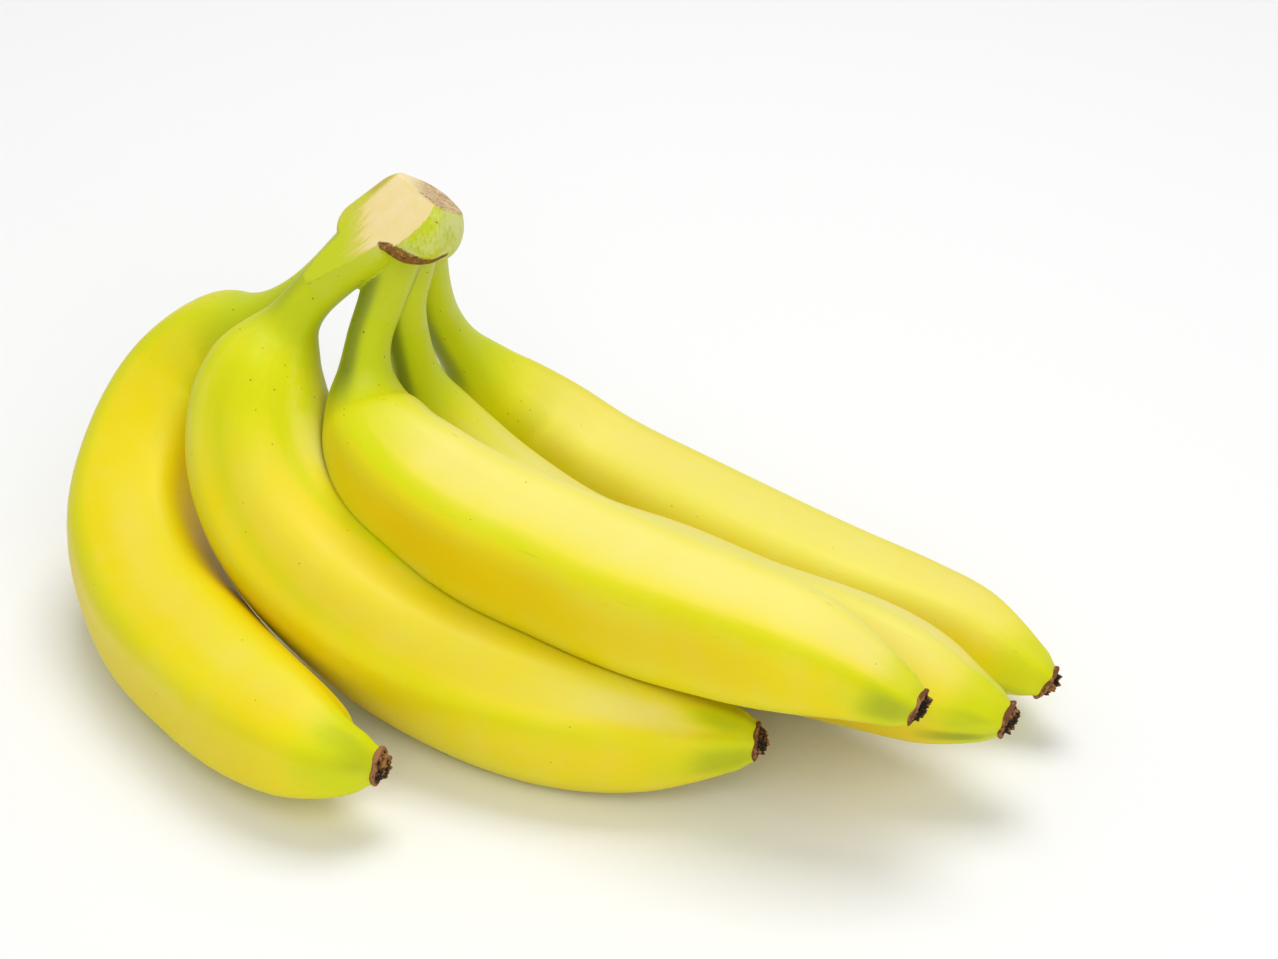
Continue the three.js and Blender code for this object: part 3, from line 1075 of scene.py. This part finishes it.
@dataclass(frozen=True)
class Plane:
    """A plane, by its outward normal and its distance from the layout's origin in mm."""

    normal: Triple
    distance: float

    def outward(self) -> Array:
        """The normal at length 1."""
        normal = np.array(self.normal, float)
        return normal / np.linalg.norm(normal)

    def height(self, points: Array) -> Array:
        """How far points stand over the plane, in metres."""
        normal = self.outward()
        return points @ normal - (self.distance - float(np.dot(normal, MIDDLE))) * MM

    def cut(self, points: Array, fall: Array | float = 0.0) -> tuple[Array, Array]:
        """Draws what lies beyond the plane, or that far below it, onto it. Gives the heights first."""
        height = self.height(points)
        return height, points - self.outward() * np.maximum(height + fall, 0)[:, None]


@dataclass
class Crown:
    """The woody cushion that holds the five necks, with its two cuts and its scar rim.

    Attributes:
        voxel: how fine its mesh is, in metres.
        stub_end: the share of a fruit's length to which the base of its neck is modelled here.
        bead: the rim's radius in mm by its share of the rim's length.
    """

    voxel: float = 0.45 * MM
    stub_end: float = 0.125
    bead: tuple[tuple[float, float], ...] = (
        (0.0, 0.4), (0.12, 1.1), (0.32, 1.7), (0.55, 1.4), (0.8, 0.9), (1.0, 0.4),
    )

    # The lumps that the skin is stretched over: middle and half-axes, in mm.
    LUMPS = (
        ((-36, 46, 105.5), (9.5, 9, 10)),
        ((-45.2, 45, 101.5), (7.5, 7, 7.5)),
        ((-34, 56, 98), (9, 9, 9)),
        ((-31, 38.5, 106.6), (6.2, 9.5, 9)),
        ((-29.2, 43, 103.8), (7, 8, 8.8)),
        ((-38, 36.5, 106.5), (5.5, 5.5, 5.5)),
    )
    # The rim's middle line, in mm.
    RIM = (
        (-41.6, 33.6, 103.9), (-40.3, 32.3, 103.8), (-37.9, 31.3, 103.2), (-35.5, 31.2, 102),
        (-33.2, 31.2, 101.3), (-30.8, 31.8, 100.8), (-28.4, 33.3, 100.3), (-26.3, 36, 99.9),
    )
    # The fresh knife cut and the older corky one.
    FRESH = Plane((-0.501, -0.468, 0.728), 81.1)
    OLD = Plane((0.534, 0.295, 0.793), 85.4)
    # Past this plane the fresh cut bends down over the front lobe, by so much per mm and mm squared.
    LOBE = Plane((0.737, -0.358, -0.573), -99.3)
    LOBE_FALL = (0.30, 0.03)
    # Two planes whose shared outer side is the skin under the fresh cut, which stays whole, and how
    # fast the cut falls there.
    FOOT = (Plane((0.484, -0.464, -0.742), -113.5), Plane((-0.464, -0.470, -0.751), -74.7))
    FOOT_FALL = 0.9
    # The crown's upper left outline, where green shows at the fresh cut's border.
    GREEN_EDGE = Plane((-0.636, 0.409, 0.655), 119.8)
    # Where a neck's base is drawn onto its fruit's exact skin, as shares, and from how far, in mm.
    SEAM_FROM, SEAM_BLEND, SEAM_REACH = 0.06, (0.065, 0.095), 2.5
    # The rim's bark: its two noises' sizes in metres and seeds, the second's part, and its height in mm.
    BARK = ((0.0022, 21), (0.0011, 22))
    FINE_BARK, BARK_HEIGHT = 0.6, 0.28
    # How far from the middle the grain of the necks' bases is read, in metres.
    GRAIN_REACH = 0.006

    def hull(self) -> Piece:
        """Stretches a skin over the lumps."""
        balls = []
        for middle, half in self.LUMPS:
            deselect()
            bpy.ops.mesh.primitive_uv_sphere_add(segments=32, ring_count=20, location=place(middle))
            ball = bpy.context.object
            ball.scale = [h * MM for h in half]
            settle(ball)
            balls.append(ball)
        hull = join("crown_skin", balls)
        bpy.ops.object.mode_set(mode="EDIT")
        bpy.ops.mesh.select_all(action="SELECT")
        bpy.ops.mesh.convex_hull()
        bpy.ops.object.mode_set(mode="OBJECT")
        return hull

    def stub(self, fruit: Fruit) -> Piece:
        """The base of a neck, run a little past its seam."""
        shares = np.linspace(0, self.stub_end, 12)
        stub = sleeve("stub", [(float(share), 1.0) for share in shares], 32)
        bend(stub, fruit.path, fruit.radius)
        return stub

    def rim(self, path: Path) -> Piece:
        """The scar rim as a bead along its path."""
        shares = np.linspace(0, 1, 24)
        bead = table_at(self.bead, shares) * MM
        rim = sleeve("rim", [(float(share), 1.0) for share in shares], 16)
        bend(rim, path, lambda share, _: np.interp(share, shares, bead))
        return rim

    def owners(self, points: Array) -> tuple[Array, Array, Array, Array]:
        """Finds the neck that each point belongs to.

        Args:
            points: places in metres.

        Returns:
            For each, the fruit's place in FRUITS, the share, the angle and the gap to its skin.
        """
        found = []
        for fruit in FRUITS:
            share, angle, away = fruit.path.nearest(points)
            found.append((share, angle, away - fruit.radius(np.clip(share, 0, 1), angle)))
        shares, angles, gaps = (np.array(column) for column in zip(*found))
        who = np.argmin(np.abs(gaps), axis=0)
        pick = np.arange(len(points))
        return who, shares[who, pick], angles[who, pick], gaps[who, pick]

    def fit_necks(self, points: Array) -> tuple[Array, Array, Array, Array]:
        """Draws the ends of the necks onto their seams.

        Args:
            points: the crown's vertices.

        Returns:
            The moved vertices, and for each its fruit's place in FRUITS, its share and its angle.
        """
        who, share, angle, gap = self.owners(points)
        for index, fruit in enumerate(FRUITS):
            near = (who == index) & (share > self.SEAM_FROM) & (np.abs(gap) < self.SEAM_REACH * MM)
            held = np.minimum(share[near], NECK_SEAM)
            exact = fruit.path.around(held, angle[near], fruit.radius(held, angle[near]))
            pull = smoothstep(*self.SEAM_BLEND, share[near])[:, None]
            points[near] = points[near] * (1 - pull) + exact * pull
            late = (share > NECK_SEAM) & (who == index) & ~near
            back = (share[late] - NECK_SEAM) * fruit.path.length
            points[late] = points[late] - fruit.path.read(fruit.path.along, share[late]) * back[:, None]
        return points, who, np.clip(share, 0, 1), angle

    def fresh_cut(self, points: Array) -> tuple[Array, Array]:
        """Makes the fresh cut, which bends down over the front lobe and spares the skin under it.

        Args:
            points: the crown's vertices.

        Returns:
            How far each vertex stood over the cut, and the moved vertices.
        """
        past = np.maximum(self.LOBE.height(points) / MM, 0)
        fall = (self.LOBE_FALL[0] * past + self.LOBE_FALL[1] * past**2) * MM
        under = np.minimum(self.FOOT[0].height(points), self.FOOT[1].height(points))
        fall = fall - self.FOOT_FALL * np.maximum(under, 0)
        depth, points = self.FRESH.cut(points, fall)
        return np.minimum(depth, -np.maximum(past * MM, under)), points

    def scarred(self, points: Array, path: Path) -> Array:
        """Finds how far each point is part of the rim, from 0 to 1."""
        share, _, away = path.nearest(points)
        beyond = np.maximum(np.maximum(-share, share - 1), 0) * path.length
        gap = np.hypot(away, beyond) - table_at(self.bead, np.clip(share, 0, 1)) * MM
        return smoothstep(0.35 * MM, 0.1 * MM, gap)

    def barked(self, points: Array, scar: Array) -> Array:
        """Roughens the rim."""
        coarse, fine = (noise_at(points, size, seed) for size, seed in self.BARK)
        rough = coarse + self.FINE_BARK * fine
        out = points - points.mean(axis=0)
        out = out / np.linalg.norm(out, axis=1)[:, None]
        return points + out * (scar * rough * self.BARK_HEIGHT * MM)[:, None]

    def build(self, finish: Material) -> None:
        """Models the crown and gives it its finish."""
        rim_path = Path(self.RIM)
        parts = [self.hull(), self.rim(rim_path)] + [self.stub(fruit) for fruit in FRUITS]
        piece = join("crown_skin", parts)
        modify(piece, "REMESH", mode="VOXEL", voxel_size=self.voxel)
        modify(piece, "SMOOTH", factor=0.5, iterations=10)
        points, who, share, angle = self.fit_necks(corners(piece))
        fresh, points = self.fresh_cut(points)
        old, points = self.OLD.cut(points)
        scar = self.scarred(points, rim_path)
        points = self.barked(points, scar)
        set_corners(piece, np.clip(points, *CAD_BOX))
        # Painted shade on the necks' flanks between neighbours, carried onto the necks' bases.
        deep = np.array([fruit.tinted(Tint.OLIVE_AND_SHADE, share, angle) for fruit in FRUITS])
        run = np.array([fruit.path.length for fruit in FRUITS])[who] * share
        reach = self.GRAIN_REACH
        store(
            piece,
            fresh=smoothstep(-0.6 * MM, -0.1 * MM, fresh),
            old=smoothstep(-0.5 * MM, -0.1 * MM, old),
            scar=scar,
            lobe=smoothstep(0.05, 0.0, share),
            runout=ramp(points, 0, -39, -54.5),
            high=ramp(points, 2, 109.5, 112),
            border=smoothstep(-2.6 * MM, 0.0, self.GREEN_EDGE.height(points)),
            corky=ramp(points, 0, -35.5, -31),
            deep=deep[who, np.arange(len(who))],
            share=share,
            neck=np.ones(len(points)),
            grain=np.stack([reach * np.cos(angle), reach * np.sin(angle), run], 1),
        )
        close(piece, 40)
        dress(piece, finish, Slot.CROWN, "crown")


# ---- Flower ends ----


@dataclass
class FlowerEnd:
    """The dry, ragged crust at a fruit's tip: a thin brim and a dark raised heart.

    Attributes:
        fruit: the fruit it sits on.
        rings: height over the tip and radius of each ring, in mm.
    """

    fruit: Fruit
    rings: tuple[tuple[float, float], ...] = (
        (-0.9, 4.3), (-0.3, 4.65), (0.2, 4.8), (0.5, 4.6), (0.6, 4.2), (0.5, 3.8), (0.5, 3.4),
        (0.9, 3.1), (1.5, 2.9), (1.7, 2.3), (1.6, 1.6), (1.7, 0.9), (1.7, 0.3),
    )

    # How much more rust and gold than the others a fruit's end shows, by the fruit's number.
    RUSTIER = {1: 0.10}
    # Where the brim meets the heart, in mm from the middle, and how high the heart's knob stands.
    BRIM, KNOB = 3.7, 0.7

    def build(self, finish: Material) -> None:
        """Models the flower end and gives it its finish."""
        number = self.fruit.number
        piece = sleeve(f"dry_end_{number}", self.rings, 36)
        modify(piece, "SUBSURF", levels=2, render_levels=2)
        straight = corners(piece)
        across = np.hypot(straight[:, 0], straight[:, 1])
        angle = np.arctan2(straight[:, 1], straight[:, 0])
        tall = straight[:, 2]
        side = np.stack([np.cos(angle), np.sin(angle)], 1)
        wave = noise_at(np.column_stack([side, 0 * tall]), 1.2, 40 + number)
        fold = noise_at(np.column_stack([side * 0.8, across * 0.9]), 0.9, 50 + number)
        grit = noise_at(straight, 1.0, 60 + number) + 0.7 * noise_at(straight, 0.5, 70 + number)
        knob_x, knob_y = 1.4 * math.cos(number), 1.4 * math.sin(number)
        knob = np.exp(-((straight[:, 0] - knob_x) ** 2 + (straight[:, 1] - knob_y) ** 2) / 3.0)
        crust = smoothstep(-0.2, 1.0, tall)
        heart = smoothstep(self.BRIM, self.BRIM - 1.0, across)
        away = across * (1 + 0.05 * wave * crust) + (0.05 + 0.12 * heart) * grit * crust
        tall = tall + (0.22 * wave + 0.12 * grit) * crust
        tall = tall + (0.30 * fold + 0.25 * grit + self.KNOB * knob) * heart
        away = np.maximum(away, 0) * MM
        share = 1 + tall * MM / self.fruit.path.length + self.fruit.lean(angle, away)
        set_corners(piece, self.fruit.path.around(share, angle, away))
        ripple = 0.16 * np.sin(across * 6.5 + 2 * wave)
        crest = 0.40 + self.RUSTIER.get(number, 0.0) + 0.16 * fold + 0.20 * grit + ripple
        store(
            piece,
            edge=smoothstep(-0.35, 0.35, across - self.BRIM + 0.3 * wave + 0.2 * grit),
            crest=np.clip(crest, 0, 1),
        )
        close(piece, 80)
        dress(piece, finish, Slot.FLOWER_END, f"flower_end_{number}")


# ---- Stage ----


@dataclass
class Studio:
    """The floor, the lights and the camera.

    Attributes:
        spot: where the camera stands, in metres.
        tilt: how far it is tilted up from straight down, in degrees.
        lens: its focal length in mm.
        aim: what the lamps point at.
        sky: how bright the white surroundings are.
        paper: how pale the floor is.
    """

    spot: Triple = (0.0192, -0.7466, 0.5200)
    tilt: float = 58.0
    lens: float = 105.0
    aim: Triple = (0, 0, 0.04)
    sky: float = 0.52
    paper: float = 0.90

    def camera(self) -> None:
        """Places the camera."""
        data = bpy.data.cameras.new("camera")
        data.lens = self.lens
        camera = bpy.data.objects.new("camera", data)
        camera.location = self.spot
        camera.rotation_euler = (math.radians(self.tilt), 0, 0)
        bpy.context.scene.collection.objects.link(camera)
        bpy.context.scene.camera = camera

    def lamp(self, name: str, spot: Triple, size: float, power: float, glossy: bool) -> None:
        """Adds a square soft light aimed at the fruit.

        Args:
            name: its name.
            spot: where it hangs.
            size: its side in metres.
            power: in watts.
            glossy: whether it shows in glossy surfaces.
        """
        data = bpy.data.lights.new(name, "AREA")
        data.size = size
        data.energy = power
        lamp = bpy.data.objects.new(name, data)
        lamp.location = spot
        lamp.visible_glossy = glossy
        lamp.rotation_euler = (Vector(self.aim) - Vector(spot)).to_track_quat("-Z", "Y").to_euler()
        bpy.context.scene.collection.objects.link(lamp)

    def lights(self) -> None:
        """Lights the scene."""
        self.lamp("key", (0.03, 0.28, 1.04), size=0.6, power=5.4, glossy=True)
        self.lamp("fill", (0.20, -1.0, 0.8), size=1.0, power=6.2, glossy=False)
        world = bpy.data.worlds.new("studio")
        world.use_nodes = True
        sky = world.node_tree.nodes["Background"]
        sky.inputs["Color"].default_value = (1, 1, 1, 1)
        sky.inputs["Strength"].default_value = self.sky
        bpy.context.scene.world = world
        bpy.context.scene.view_settings.view_transform = "Standard"

    def floor(self) -> None:
        """Adds the pale floor."""
        deselect()
        bpy.ops.mesh.primitive_plane_add(size=8)
        floor = bpy.context.object
        floor.name = "floor"
        shader = Shader("floor")
        shader.surface.inputs["Base Color"].default_value = (*[self.paper] * 3, 1)
        shader.surface.inputs["Roughness"].default_value = 0.9
        floor.data.materials.append(shader.material)

    def build(self) -> None:
        """Sets the scene."""
        self.camera()
        self.lights()
        self.floor()


def main() -> None:
    """Builds the hand in order and reports each piece."""
    logging.basicConfig(level=logging.INFO, format="%(name)s: %(message)s")
    Studio().build()
    skin = SkinFinish().material()
    before = None
    for fruit in FRUITS:
        fruit.build(before, skin)
        before = fruit
    Crown().build(CrownFinish().material())
    dry = FlowerEndFinish().material()
    for fruit in FRUITS:
        FlowerEnd(fruit).build(dry)


if __name__ == "__main__":
    main()
